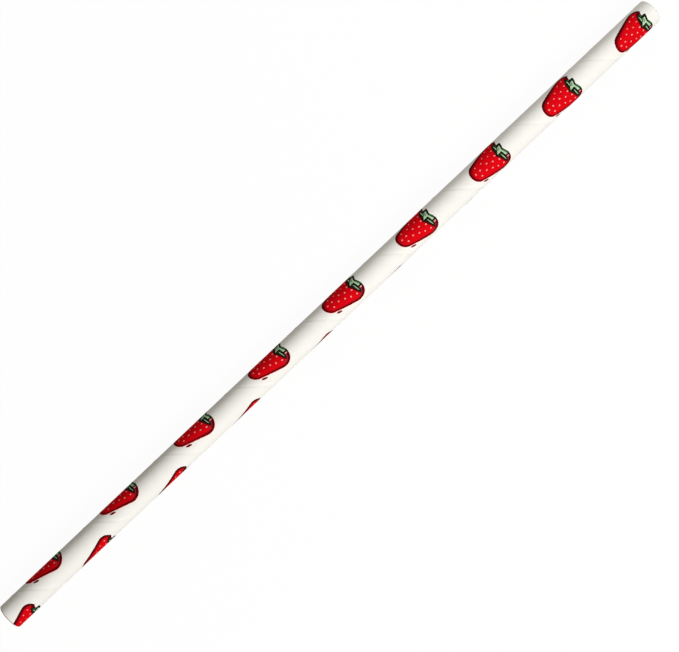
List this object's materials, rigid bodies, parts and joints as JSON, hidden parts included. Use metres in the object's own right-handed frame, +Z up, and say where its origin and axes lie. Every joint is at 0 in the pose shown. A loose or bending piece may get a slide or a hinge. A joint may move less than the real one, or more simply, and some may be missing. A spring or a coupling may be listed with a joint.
{
  "type": "paper drinking straw",
  "caption": "Straight paper drinking straw, spirally wound with a lapped outer ply and printed with strawberries.",
  "frame": {"origin": "on the surface that the straw lies on, under the middle of its length", "axes": "+X along the straw's axis, +Z up from the surface, +Y across"},
  "size_m": [0.197, 0.0062, 0.0062],
  "materials": {
    "printed_paper": "uncoated matt white paper with a strawberry print in red, dark red and green inks"
  },
  "bodies": {
    "root": {"straw_tube": "printed_paper"}
  },
  "joints": []
}
